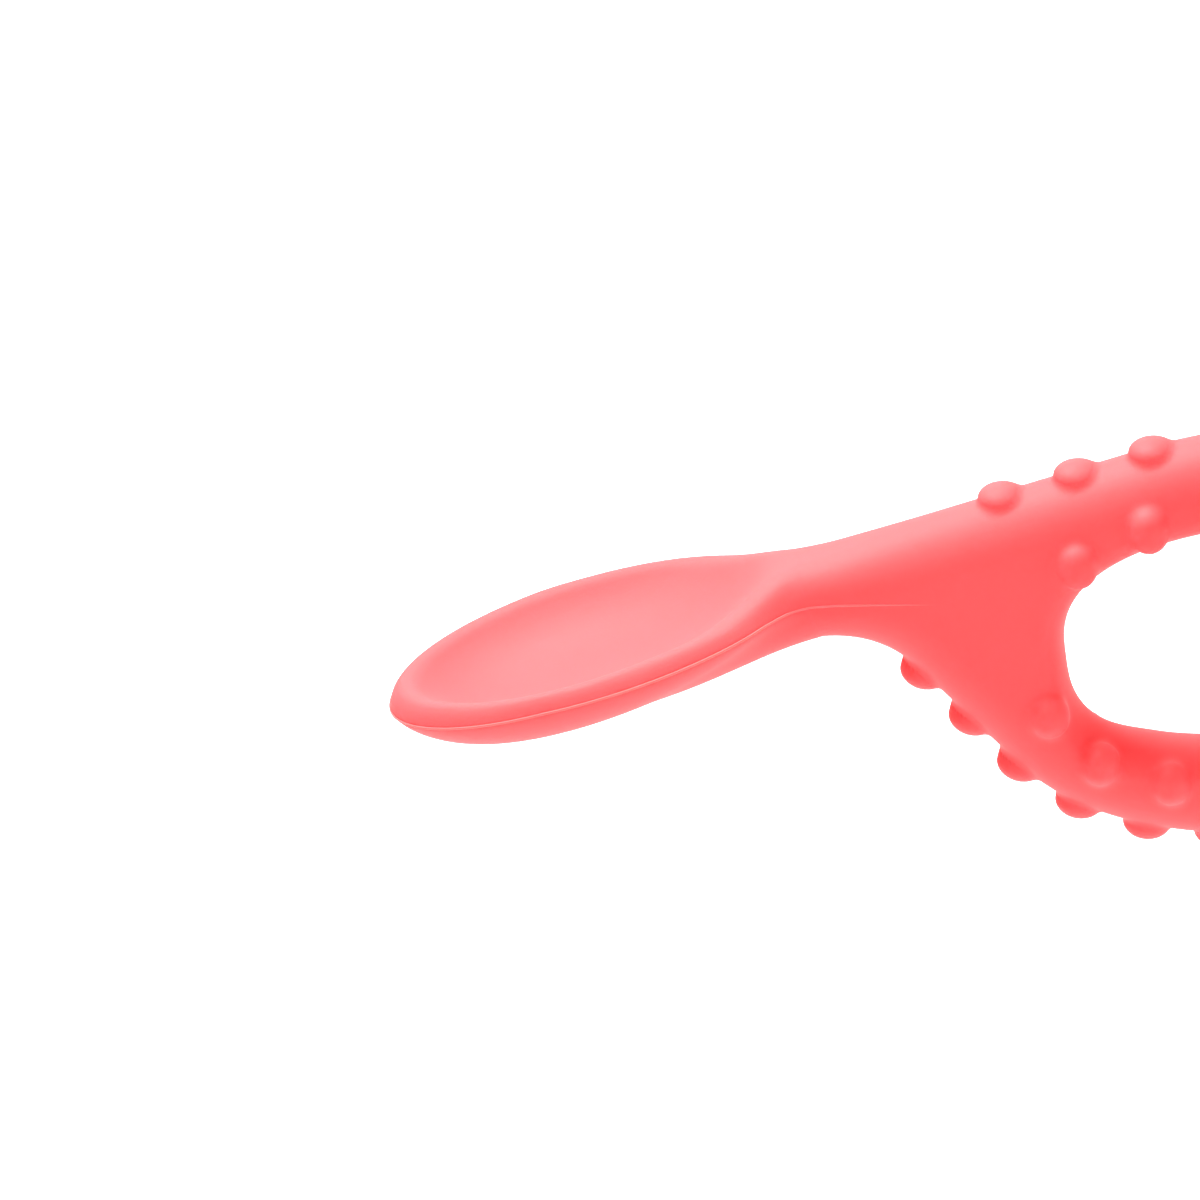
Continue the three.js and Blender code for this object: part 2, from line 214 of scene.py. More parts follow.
def signed_power(value, power):
    """The power of a number's size, with the number's sign."""
    return np.sign(value) * np.abs(value) ** power


def soft_min(a, b, blend):
    """The lesser of two fields, rounded where they differ by less than the blend."""
    share = np.clip(0.5 + 0.5 * (b - a) / blend, 0, 1)
    return lerp(b, a, share) - blend * share * (1 - share)


def soft_max(a, b, blend):
    """The greater of two fields, rounded where they differ by less than the blend."""
    return -soft_min(-a, -b, blend)


# Side view of the neck, flare and loop, as points of X and Z

loop_centre = np.array([
    SEAM_X + FLARE_LENGTH + HOLE_NEAR * math.cos(HOLE_DIP),
    NECK_TOP - HOLE_DROP - HOLE_NEAR * math.sin(HOLE_DIP),
])


def loop_point(distance, angle):
    """Points of the egg that lies a distance outside the hole, at angles from the far end.

    Each half is a superellipse, and the whole egg is turned down by its dip.
    From the hole to the outer line the dip and the near half's exponent change steadily.
    """
    share = distance / ARM
    is_near = np.cos(angle) < 0
    fullness = np.where(np.sin(angle) < 0, HOLE_LOW_FULLNESS, HOLE_FULLNESS)
    power = 2 / np.where(is_near, lerp(fullness, LOOP_FULLNESS, share), FAR_FULLNESS)
    along = (np.where(is_near, HOLE_NEAR, HOLE_FAR) + distance) * signed_power(np.cos(angle), power)
    up = (HOLE_HALF_HEIGHT + distance) * signed_power(np.sin(angle), power)
    dip = lerp(HOLE_DIP, LOOP_DIP, share)
    turned = [along * np.cos(dip) + up * np.sin(dip), up * np.cos(dip) - along * np.sin(dip)]
    return np.stack(turned, -1) + loop_centre


def tangent_angle(point, start, end):
    """The angle at which the outer egg's tangent goes through a point: where the cross product
    of the way from the point and the way along the egg changes its sign."""
    angles = np.linspace(start, end, TANGENT_TRIES)
    here = loop_point(ARM, angles)
    ahead = loop_point(ARM, angles + ANGLE_STEP) - here
    away = here - point
    turn = away[:, 0] * ahead[:, 1] - away[:, 1] * ahead[:, 0]
    return angles[np.argmax(np.sign(turn) != np.sign(turn[0]))]


neck_top_point = np.array([SEAM_X, NECK_TOP])
arch_x = loop_point(ARM, np.array(math.pi))[0] - ARCH_STANDOFF
arch_corner = np.array([arch_x, neck_bottom - math.tan(UNDERSIDE_SLOPE) * (arch_x - SEAM_X)])
top_angle = tangent_angle(neck_top_point, math.pi / 2, math.pi)
low_angle = tangent_angle(arch_corner, -math.pi, -math.pi / 2)
outer_arc = loop_point(ARM, np.linspace(top_angle, low_angle, LOOP_STEPS))
toward_loop = outer_arc[-1] - arch_corner
toward_loop /= np.linalg.norm(toward_loop)
toward_neck = np.array([-math.cos(UNDERSIDE_SLOPE), math.sin(UNDERSIDE_SLOPE)])
arch_end = arch_corner + ARCH_RUN * toward_loop
arch_start = arch_corner + ARCH_RUN * toward_neck


def soft_corner(start, corner, end):
    """Points of the quadratic curve from one point to another by way of a corner."""
    t = np.linspace(0, 1, CORNER_STEPS)[:, None]
    return (1 - t) ** 2 * np.array(start) + 2 * t * (1 - t) * np.array(corner) + t ** 2 * np.array(end)


def side_outline():
    """The outer line: the egg, the arch under the neck, the neck's underside, and its top
    with the heel's rise."""
    arch = soft_corner(arch_end, arch_corner, arch_start)
    root = [[SEAM_X, neck_bottom], [NECK_ROOT_X, 0], [NECK_ROOT_X, HEEL_TOP[1]]]
    foot_share = (HEEL_FOOT_X - SEAM_X) / (outer_arc[0][0] - SEAM_X)
    heel = soft_corner(HEEL_TOP, neck_top_point, lerp(neck_top_point, outer_arc[0], foot_share))
    return np.concatenate([outer_arc, arch, root, heel])


def polygon_distance(points, corners):
    """Distance of points from a closed polygon in a plane, negative inside: the least distance
    to any of its sides, with the sign from the count of sides that a ray crosses."""
    found = []
    sides = np.roll(corners, -1, axis=0) - corners
    ends = corners + sides
    for part in np.array_split(points, max(1, len(points) // MAP_BATCH)):
        away = part[:, None] - corners
        share = np.clip((away * sides).sum(-1) / (sides * sides).sum(-1), 0, 1)
        gap = away - share[..., None] * sides
        least = np.sqrt((gap * gap).sum(-1).min(1))
        spans = (corners[:, 1] <= part[:, 1:]) != (ends[:, 1] <= part[:, 1:])
        rise = np.where(sides[:, 1] == 0, 1, sides[:, 1])
        crossing = corners[:, 0] + away[..., 1] * sides[:, 0] / rise
        inside = (spans & (part[:, :1] < crossing)).sum(1) % 2 == 1
        found.append(np.where(inside, -least, least))
    return np.concatenate(found)


net_low = np.array([
    SEAM_X - (SEAM_CUBE + 0.5) * NET_STEP,
    -(NET_COUNT[1] - 1) / 2 * NET_STEP,
    NET_FLOOR,
])
net_axes = [net_low[i] + NET_STEP * np.arange(NET_COUNT[i]) for i in range(3)]

map_low = net_low[[0, 2]] - MAP_MARGIN
map_count = ((NET_COUNT[[0, 2]] * NET_STEP + 2 * MAP_MARGIN) / MAP_STEP).astype(int) + 1


def distance_map(corners):
    """Polygon distances on the points of a square grid over the side view."""
    x = map_low[0] + MAP_STEP * np.arange(map_count[0])
    z = map_low[1] + MAP_STEP * np.arange(map_count[1])
    points = np.stack(np.meshgrid(x, z, indexing="ij"), -1).reshape(-1, 2)
    return polygon_distance(points, corners).reshape(map_count)


outline_map = distance_map(side_outline())
hole_map = distance_map(loop_point(0, np.linspace(0, -2 * math.pi, LOOP_STEPS, endpoint=False)))


def read_map(table, x, z):
    """A map's value between its points, weighted along both axes."""
    u = np.clip((x - map_low[0]) / MAP_STEP, 0, map_count[0] - MAP_END)
    w = np.clip((z - map_low[1]) / MAP_STEP, 0, map_count[1] - MAP_END)
    i, j = u.astype(int), w.astype(int)
    low = lerp(table[i, j], table[i + 1, j], u - i)
    high = lerp(table[i, j + 1], table[i + 1, j + 1], u - i)
    return lerp(low, high, w - j)


# Fields of the silicone: negative inside, and close to a distance near the surface

def ellipse_field(a, b, radius_a, radius_b):
    """An ellipse, from a point's offsets over its radii: their length, less 1, over its own slope."""
    length = np.hypot(a, b)
    return (length - 1) * length / np.hypot(a / radius_a, b / radius_b)


def rounded_slab(edge, y, half_width, depth, across):
    """A plate whose edges are quarter ellipses: edge is the distance from its side view, y runs
    across it, and the radii go in from the side view's line and across the plate."""
    a = np.maximum(edge / depth + 1, TINY)
    b = np.maximum((np.abs(y) - half_width) / across + 1, TINY)
    return ellipse_field(a, b, depth, across)


def handle_field(x, y, z):
    """Neck, flare and loop: a rounded plate that widens under the bowl, less the finger hole.

    Round the loop its outer edge is a full half oval, and so is the hole's,
    which has a crown along the lower arm.
    """
    half_width = lerp(NECK_ROOT_HALF_WIDTH, BODY_WIDTH / 2, ease(x, NECK_SPREAD_X, SEAM_X))
    is_loop = ease(x, *EDGE_GROWS)
    edge = read_map(outline_map, x, z) - OUTER_CROWN * is_loop
    depth = lerp(NECK_ROUND, OUTER_ROUND, is_loop)
    plate = rounded_slab(edge, y, half_width, depth, lerp(NECK_ROUND, half_width, is_loop))
    drop = (loop_centre[0] - x) * PULL[0] + (loop_centre[1] - z) * PULL[2]
    crown = HOLE_CROWN * ease(x, *CROWN_GROWS) * ease(drop, *CROWN_DROPS)
    edge = -read_map(hole_map, x, z) - crown
    return np.maximum(plate, rounded_slab(edge, y, half_width, HOLE_ROUND, half_width))


def oval(x, y, tip, heel, half_width):
    """Share of an oval's reach at points of a plan, the reach there, and the slope of the share."""
    reach_x = np.where(x < 0, tip, heel)
    share = np.maximum(np.hypot(x / reach_x, y / half_width), TINY)
    reach = np.maximum(np.hypot(x, y), TINY) / share
    slope = np.hypot(x / reach_x ** 2, y / half_width ** 2) / share
    return share, reach, slope


def rim_height(x):
    """Heights of the rim: they fall softly from the tip, and rise again towards the neck."""
    fall = lerp(TIP_RIM_HEIGHT, LOW_RIM_HEIGHT, ease(x, -TIP_REACH, LOW_RIM_X))
    return fall + HEEL_RISE * ease(x, *HEEL_RISES)


def quarter_field(plan, centre, rise, height, power):
    """A quarter of a superellipse turned round the bowl's oval: the length of a point's offsets
    over the radii, less 1, over its own slope. Beside the quarter it is an upright wall."""
    share, reach, slope = plan
    across = (1 - centre) * reach
    a = np.maximum((share - centre) * reach, 0) / across
    c = np.maximum(rise, TINY_RISE) / height
    length = (a ** power + c ** power) ** (1 / power)
    steepness = np.hypot(a ** (power - 1) * slope * reach / across, c ** (power - 1) / height)
    return (length - 1) * length ** (power - 1) / steepness


def dish_field(x, y, z):
    """The bowl's outside: a quarter from the sole to the widest line, and over it the rim's steep
    and flat slopes, which meet in a soft corner.

    Out and up are a point's offsets from the widest line, through which the steep slope goes.
    """
    plan = oval(x, y, TIP_REACH, HEEL_REACH, BOWL_HALF_WIDTH)
    widest = np.maximum(np.interp(x, *PARTING_HEIGHTS), LEAST_WALL)
    wall = quarter_field(plan, sole_share, widest - z, widest, WALL_FULLNESS)
    out = (plan[0] - 1) / plan[2]
    up = z - widest
    steep = out * math.cos(RIM_STEEP) + up * math.sin(RIM_STEEP)
    past_corner = out + RIM_CORNER * math.tan(RIM_STEEP)
    flat = past_corner * math.cos(RIM_FLAT) + (up - RIM_CORNER) * math.sin(RIM_FLAT)
    return np.maximum(wall, soft_max(steep, flat, RIM_CORNER_BLEND))


def hollow_field(x, y, z):
    """The hollow: the height over its floor, which rises as a power of the share of its oval."""
    share, _, slope = oval(x, y, TIP_REACH * rim_inner, HOLLOW_HEEL, BOWL_HALF_WIDTH * rim_inner)
    share = np.minimum(share, HOLLOW_LIMIT)
    power = lerp(HOLLOW_POWER, HEEL_POWER, ease(x, HEEL_POWER_X, HOLLOW_HEEL))
    depth = rim_height(x) - RIM_DROP - FLOOR_HEIGHT
    floor = FLOOR_HEIGHT + depth * share ** power
    steepness = depth * power * share ** (power - 1) * slope
    return (z - floor) / np.hypot(1, steepness)


def socket_field(x, y, z):
    """The stiffening tongue's socket: a flat bar with round ends, grown by its clearance."""
    radius = CORE_WIDTH / 2
    beyond = np.maximum(SEAM_X - CORE_IN_BOWL + radius - x, x - SEAM_X - CORE_IN_FLARE + radius)
    plan = np.hypot(np.maximum(beyond, 0), y) - radius
    middle = NECK_TOP - CORE_DEPTH - CORE_THICKNESS / 2
    return np.maximum(plan, np.abs(z - middle) - CORE_THICKNESS / 2) - CORE_CLEARANCE


def skin_field(x, y, z):
    """The silicone's outside: handle and bowl run softly into each other below the rim's top,
    and the hollow is cut with a soft edge that widens towards the neck."""
    blend = lerp(ROOT_BLEND, NECK_BLEND, ease(x, NECK_ROOT_X, SEAM_X))
    joined = soft_min(handle_field(x, y, z), dish_field(x, y, z), blend)
    joined = soft_max(joined, z - rim_height(x), TOP_BLEND)
    edge = lerp(RIM_ROUND, HEEL_ROUND, ease(x, *HEEL_ROUNDS))
    return soft_max(joined, hollow_field(x, y, z), edge)


def nub_field(nub, points):
    """A nub: half an ellipsoid over a straight foot, swept along its short way out of the mould."""
    offset = points - nub["place"]
    drawn = np.clip(offset @ PULL, -nub["toward"], nub["away"])
    offset = (offset - drawn[:, None] * PULL) @ nub["turn"]
    out = np.maximum(np.hypot(offset[:, 0], offset[:, 1]) / nub["radius"], TINY)
    up = np.maximum(offset[:, 2], 0) / nub["height"]
    return ellipse_field(out, up, nub["radius"], nub["height"])


def silicone_field(x, y, z):
    """The silicone with a soft fillet round each nub's foot, and with its socket."""
    values = skin_field(x, y, z)
    for nub in nubs:
        away = [np.abs(axis - middle) for axis, middle in zip((x, y, z), nub["place"])]
        near = np.maximum(np.maximum(away[0], away[1]), away[2]) < NUB_REACH
        points = np.stack([np.broadcast_to(axis, near.shape)[near] for axis in (x, y, z)], -1)
        values[near] = soft_min(values[near], nub_field(nub, points) + NUB_INSET, nub["blend"])
    return np.maximum(values, -socket_field(x, y, z))


def field_slope(field, points):
    """A field's slope at points, from its change over a small step each way along each axis."""
    slope = np.empty_like(points)
    for axis in range(3):
        step = np.zeros(3)
        step[axis] = SLOPE_STEP
        slope[:, axis] = field(*(points + step).T) - field(*(points - step).T)
    return slope / (2 * SLOPE_STEP)


def surface_net(values):
    """A closed net of quads round the cubes that a field's zero goes through.

    A cube's point is the mean of the places where its edges cross the zero,
    and each crossed edge gives a quad through the points of the four cubes round it.
    Returns the points, the quads and the cubes of the points.
    """
    inside = values < 0
    cells = NET_COUNT - 1
    total = np.zeros((3, cells.prod()))
    hits = np.zeros(cells.prod())
    rings = []
    for axis in range(3):
        first, second = (axis + 1) % 3, (axis + 2) % 3
        here = [slice(None)] * 3
        here[axis] = slice(0, -1)
        ahead = [slice(None)] * 3
        ahead[axis] = slice(1, None)
        place = np.argwhere(inside[tuple(here)] != inside[tuple(ahead)])
        step = np.eye(3, dtype=int)[axis]
        start = values[tuple(place.T)]
        share = start / (start - values[tuple((place + step).T)])
        crossing = place + share[:, None] * step
        ring = []
        for back in ((1, 1), (0, 1), (0, 0), (1, 0)):
            cell = place.copy()
            cell[:, first] -= back[0]
            cell[:, second] -= back[1]
            ring.append(np.ravel_multi_index(cell.T, cells))
            hits += np.bincount(ring[-1], minlength=len(hits))
            for i in range(3):
                total[i] += np.bincount(ring[-1], crossing[:, i], len(hits))
        ring = np.stack(ring, -1)
        outward = inside[tuple(place.T)]
        rings.append(np.where(outward[:, None], ring, ring[:, ::-1]))
    used = np.flatnonzero(hits)
    number = np.zeros(len(hits), int)
    number[used] = np.arange(len(used))
    points = net_low + NET_STEP * (total[:, used] / hits[used]).T
    return points, number[np.concatenate(rings)], np.stack(np.unravel_index(used, cells), -1)


def silicone_net():
    """The silicone's net, settled onto the field's zero: in each round a point moves along the slope
    by the field over the slope, and stays in its own cube along X.

    The ring of points in the seam's cubes stays on the seam's plane.
    """
    x, y, z = np.meshgrid(*net_axes, indexing="ij", sparse=True)
    points, quads, cells = surface_net(silicone_field(x, y, z))
    at_seam = cells[:, 0] == SEAM_CUBE
    cell_low = net_low[0] + NET_STEP * cells[:, 0]
    for _ in range(SETTLE_ROUNDS):
        slope = field_slope(silicone_field, points)
        slope[at_seam, 0] = 0
        size = np.maximum((slope * slope).sum(-1), LEAST_SLOPE_SQUARED)
        move = (silicone_field(*points.T) / size)[:, None] * slope
        points = points - np.clip(move, -SETTLE_MOVE, SETTLE_MOVE)
        points[:, 0] = np.clip(points[:, 0], cell_low, cell_low + NET_STEP)
        points[at_seam, 0] = SEAM_X
    return points, quads


# Finishes

MIX_COLOUR = 2  # number of a Mix node's colour output


class Shade:
    """A socket of a material, so that shader maths is written as expressions."""

    def __init__(self, tree, socket=None):
        self.tree = tree
        self.socket = socket

    def node(self, kind, settings=None, inputs=None, output=0):
        """Adds a node of a type, and gives one of its outputs.

        Its settings are set first, then the values or links of its sockets.
        """
        made = self.tree.nodes.new(kind)
        for name, value in (settings or {}).items():
            setattr(made, name, value)
        for name, value in (inputs or {}).items():
            if isinstance(value, Shade):
                self.tree.links.new(value.socket, made.inputs[name])
            else:
                made.inputs[name].default_value = value
        return Shade(self.tree, made.outputs[output] if made.outputs else None)

    def math(self, operation, other):
        """An operation on this value and another, which may be a plain number."""
        return self.node("ShaderNodeMath", {"operation": operation}, {0: self, 1: other})

    def __add__(self, other):
        return self.math("ADD", other)

    def __mul__(self, other):
        return self.math("MULTIPLY", other)

    __radd__ = __add__
    __rmul__ = __mul__

    def mix(self, a, b):
        """A colour between two, by this value."""
        sockets = {"Factor": self, "A": a, "B": b}
        return self.node("ShaderNodeMix", {"data_type": "RGBA"}, sockets, MIX_COLOUR)


def linear(red, green, blue):
    """A colour from its 0 to 255 screen values, in linear light by the sRGB curve."""
    screen = np.array([red, green, blue]) / 255
    return (*np.where(screen <= 0.04045, screen / 12.92, ((screen + 0.055) / 1.055) ** 2.4), 1.0)


CORAL_DEEP = linear(253, 73, 76)
CORAL_PALE = linear(254, 81, 83)
# The parting line's bead is the same silicone as the body, coloured paler as a painted highlight along
# it.
FLASH_HIGHLIGHT_DEEP = linear(253, 95, 96)
FLASH_HIGHLIGHT_PALE = linear(254, 103, 104)
NYLON_DEEP = linear(226, 220, 208)
NYLON_PALE = linear(240, 236, 228)


def blank_material(name):
    """A material with an empty tree, and a maker of its nodes."""
    material = bpy.data.materials.new(name)
    material.use_nodes = True
    material.node_tree.nodes.clear()
    return material, Shade(material.node_tree)


def silicone_finish(name, deep, pale):
    """Soft matte silicone: a broad drift of colour, a fine moulded grain, and a gloss that varies
    with both."""
    material, make = blank_material(name)
    place = make.node("ShaderNodeTexCoord", output="Object")
    drift = make.node("ShaderNodeTexNoise", None, {"Vector": place, "Scale": 70.0, "Detail": 2.0})
    grain = make.node("ShaderNodeTexNoise", None, {"Vector": place, "Scale": 3200.0, "Detail": 2.0})
    bump = make.node("ShaderNodeBump", None, {"Strength": 0.06, "Distance": 0.0002, "Height": grain})
    shader = make.node("ShaderNodeBsdfPrincipled", None, {
        "Base Color": drift.mix(deep, pale),
        "Roughness": 0.58 + 0.1 * drift + 0.06 * grain,
        "Normal": bump,
        "Specular IOR Level": 0.35,
        "Subsurface Weight": 0.3,
        "Subsurface Scale": 0.003,
    })
    make.node("ShaderNodeOutputMaterial", None, {"Surface": shader})
    return material


def nylon_finish():
    """Unfilled nylon: off white, with a slight cloud and a satin gloss."""
    material, make = blank_material("nylon")
    place = make.node("ShaderNodeTexCoord", output="Object")
    cloud = make.node("ShaderNodeTexNoise", None, {"Vector": place, "Scale": 300.0, "Detail": 3.0})
    shader = make.node("ShaderNodeBsdfPrincipled", None, {
        "Base Color": cloud.mix(NYLON_DEEP, NYLON_PALE),
        "Roughness": 0.35 + 0.15 * cloud,
        "Subsurface Weight": 0.1,
        "Subsurface Scale": 0.001,
    })
    make.node("ShaderNodeOutputMaterial", None, {"Surface": shader})
    return material


coral = silicone_finish("coral_silicone", CORAL_DEEP, CORAL_PALE)
# A paler copy of the silicone for the parting line's bead: painted highlight.
painted_highlight_flash = silicone_finish("coral_flash_painted_highlight", FLASH_HIGHLIGHT_DEEP, FLASH_HIGHLIGHT_PALE)


# Pieces

def add_piece(name, points, faces, material, nodes):
    """A smooth mesh that rides on the part's one body and stands for CAD nodes."""
    mesh = bpy.data.meshes.new(name)
    mesh.from_pydata((np.asarray(points) * MM).tolist(), [], faces)
    mesh.polygons.foreach_set("use_smooth", np.ones(len(mesh.polygons), bool))
    mesh.materials.append(material)
    piece = bpy.data.objects.new(name, mesh)
    bpy.context.collection.objects.link(piece)
    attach(piece, "root")
    if nodes:
        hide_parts(*nodes)
    return piece


def close_at_seam(piece):
    """Fills a piece's open ring on the seam's plane, with a sharp edge round it."""
    work = bmesh.new()
    work.from_mesh(piece.data)
    rim = [edge for edge in work.edges if edge.is_boundary]
    for edge in rim:
        edge.smooth = False
    filled = bmesh.ops.triangle_fill(work, edges=rim, use_beauty=True)
    for face in filled["geom"]:
        if isinstance(face, bmesh.types.BMFace):
            face.smooth = False
    bmesh.ops.recalc_face_normals(work, faces=work.faces)
    work.to_mesh(piece.data)
    work.free()


def add_silicone():
    """The bowl and the handle from one net, parted at the seam's ring."""
    points, quads = silicone_net()
    on_bowl = points[quads][:, :, 0].mean(1) < SEAM_X
    for name, part in (("bowl", quads[on_bowl]), ("handle_loop", quads[~on_bowl])):
        used, faces = np.unique(part, return_inverse=True)
        faces = faces.reshape(-1, 4).tolist()
        piece = add_piece(name + "_skin", points[used], faces, coral, [name])
        close_at_seam(piece)


def revolved(profile, sides):
    """A profile of radius and height turned round its axis, closed at both ends on the axis."""
    turn = np.linspace(0, 2 * math.pi, sides, endpoint=False)
    radius, height = profile[1:-1, :1], profile[1:-1, 1:]
    rings = np.stack([radius * np.cos(turn), radius * np.sin(turn), height + 0 * turn], -1)
    low, high = [0, 0, profile[0, 1]], [0, 0, profile[-1, 1]]
    points = np.concatenate([[low], rings.reshape(-1, 3), [high]])
    number = 1 + np.arange(rings.shape[0] * sides).reshape(-1, sides)
    after = np.roll(number, -1, axis=1)
    quads = np.stack([number[:-1], after[:-1], after[1:], number[1:]], -1).reshape(-1, 4)
    last = len(points) - 1
    bottom = np.stack([0 * number[0], after[0], number[0]], -1)
    top = np.stack([0 * number[0] + last, number[-1], after[-1]], -1)
    return points, quads.tolist() + bottom.tolist() + top.tolist()


def dome(radius, height, foot):
    """Half an ellipsoid over a straight foot, and the outward normals of its points:
    their offsets over the squares of the radii, and level round the foot."""
    angle = np.linspace(0, math.pi / 2, NUB_STEPS)
    profile = np.stack([radius * np.cos(angle), height * np.sin(angle)], -1)
    points, faces = revolved(np.concatenate([[[0, -foot], [radius, -foot]], profile]), NUB_SIDES)
    normals = points / np.array([radius, radius, height]) ** 2
    normals[:, 2] = np.maximum(normals[:, 2], 0)
    return points, faces, normals / np.maximum(np.linalg.norm(normals, axis=1, keepdims=True), TINY)


def row_shares(count, crowding, spread):
    """Shares from 0 to 1 whose spacing grows steadily by the crowding, and at both ends
    by the spread."""
    share = np.arange(count) / (count - 1)
    return share + share * (share - 1) * (crowding + spread * (2 * share - 1))


def along_line(points, start, end, shares):
    """Places and directions along a line of points, at shares of the way from a length after
    its start to a length before its end."""
    steps = np.diff(points, axis=0)
    lengths = np.linalg.norm(steps, axis=1)
    reached = np.concatenate([[0], np.cumsum(lengths)])
    wanted = lerp(start, reached[-1] - end, shares)
    place = np.clip(np.searchsorted(reached, wanted, side="right") - 1, 0, len(steps) - 1)
    direction = steps[place] / lengths[place, None]
    return points[place] + direction * (wanted - reached[place])[:, None], direction


def root_along(field, start, way):
    """Points where a field turns from inside to outside along straight lines, by halving."""
    low, high = np.zeros(len(start)), np.ones(len(start))
    for _ in range(HALVINGS):
        middle = (low + high) / 2
        is_inside = field(*(start + middle[:, None] * way).T) < 0
        low = np.where(is_inside, middle, low)
        high = np.where(is_inside, high, middle)
    return start + low[:, None] * way


def nub_turn(outward):
    """The turn that brings a nub's own axis, which is Z, to a direction."""
    return np.array(Vector((0, 0, 1)).rotation_difference(Vector(outward)).to_matrix())


def ridge_nubs():
    """Nubs round the outer ridge. They point square to it, and along both arms they lean towards
    the mould's pull."""
    ridge = np.concatenate([[arch_end], outer_arc[::-1], [neck_top_point]])
    top_end = outer_arc[0]
    spare = np.linalg.norm(top_end - neck_top_point) * (RIDGE_END - SEAM_X) / (top_end[0] - SEAM_X)
    shares = row_shares(RIDGE_NUBS, RIDGE_CROWDING, RIDGE_SPREAD)
    found = []
    for i, (point, way) in enumerate(zip(*along_line(ridge, RIDGE_START, spare, shares))):
        square = np.array([way[1], 0, -way[0]])
        upright = square @ PULL
        upper = ease(upright, *ARMS_MEET)
        lean = lerp(*RIDGE_NUB_LEANS, upper) * ease(abs(upright), *LEAN_GROWS)
        rise = OUTER_CROWN - lerp(*RIDGE_NUB_SINKS, upper)
        found.append({
            "name": f"nub_ridge_{i + 1:02d}",
            "place": np.array([point[0], 0, point[1]]) + rise * square,
            "turn": nub_turn(lerp(square, np.sign(upright) * PULL, lean)),
            "radius": RIDGE_NUB_RADIUS,
            "height": lerp(*RIDGE_NUB_HEIGHTS, upper),
            "foot": RIDGE_NUB_FOOT,
            "away": 0.0,
            "toward": 0.0,
            "blend": RIDGE_NUB_BLEND,
        })
    return found


def face_nubs(name, side, row):
    """Nubs on one face of the loop, leaning towards the hole and drawn out towards it.

    The side is -1 in front and 1 at the back, and the row is its distances from the hole.
    """
    angle = np.linspace(FACE_TOP_ANGLE, FACE_LOW_ANGLE, LOOP_STEPS)
    line = loop_point(lerp(*row, ease(np.sin(angle), *ARMS_MEET)), angle)
    points, ways = along_line(line, 0, 0, row_shares(FACE_NUBS, FACE_CROWDING, FACE_SPREAD))
    middle = np.stack([points[:, 0], 0 * points[:, 0], points[:, 1]], -1)
    places = root_along(handle_field, middle, np.array([0, side * BODY_WIDTH, 0]))
    heights = (points - loop_centre) @ PULL[[0, 2]] / HOLE_HALF_HEIGHT
    found = []
    for i, (place, way, height) in enumerate(zip(places, ways, heights)):
        lean = lerp(*FACE_LEANS, ease(height, *ARMS_MEET))
        outward = np.array([way[1] * math.sin(lean), side * math.cos(lean), -way[0] * math.sin(lean)])
        draw = np.clip(height / TAIL_FULL, -1, 1)
        found.append({
            "name": f"{name}_{i + 1:02d}",
            "place": place - FACE_NUB_SINK * outward,
            "turn": nub_turn(outward),
            "radius": FACE_NUB_RADIUS,
            "height": FACE_NUB_HEIGHT,
            "foot": FACE_NUB_FOOT,
            "away": FACE_NUB_TAILS[0] * max(-draw, 0),
            "toward": FACE_NUB_TAILS[1] * max(draw, 0),
            "blend": FACE_NUB_BLEND,
        })
    return found


def add_nub(nub):
    """A dome whose axis points outward from its place on the loop.

    It is drawn out along the pull: its points move by the near or the far length,
    by the side that their normals face, as when a dome is swept along a short line.
    """
    points, faces, normals = dome(nub["radius"], nub["height"], nub["foot"])
    facing = (normals @ nub["turn"].T) @ PULL
    drawn = lerp(-nub["toward"], nub["away"], ease(facing, -TAIL_EDGE, TAIL_EDGE))
    points = points @ nub["turn"].T + drawn[:, None] * PULL
    add_piece(nub["name"] + "_dome", points + nub["place"], faces, coral, [nub["name"]])


def parting_path():
    """The mould's parting line on the skin: along the neck's front, round the bowl by way of its tip,
    and back along the neck's other side.

    Round the bowl it is sought outward from just inside its oval, at the heights of the places
    that the round before has found, and along the neck straight across it.
    """
    leave = math.atan2(BODY_WIDTH / 2 / BOWL_HALF_WIDTH, PARTING_TURN / HEEL_REACH)
    turn = np.linspace(-leave, leave - 2 * math.pi, PARTING_BOWL_STEPS)
    x = np.where(np.cos(turn) < 0, TIP_REACH, HEEL_REACH) * np.cos(turn)
    way = np.stack([x, BOWL_HALF_WIDTH * np.sin(turn), 0 * x], -1)
    inner, reach = PARTING_SEARCH
    round_bowl = way
    for _ in range(PARTING_ROUNDS):
        z = np.interp(round_bowl[:, 0], *PARTING_HEIGHTS)
        round_bowl = root_along(skin_field, inner * way + np.stack([0 * z, 0 * z, z], -1), reach * way)
    x = np.linspace(PARTING_END, round_bowl[0, 0], PARTING_NECK_STEPS)[:-1]
    z = np.interp(x, *PARTING_HEIGHTS)
    front = root_along(skin_field, np.stack([x, 0 * x, z], -1), np.array([0, -2 * BODY_WIDTH, 0]))
    back = front[::-1] * [1, -1, 1]
    return np.concatenate([front, round_bowl, back])


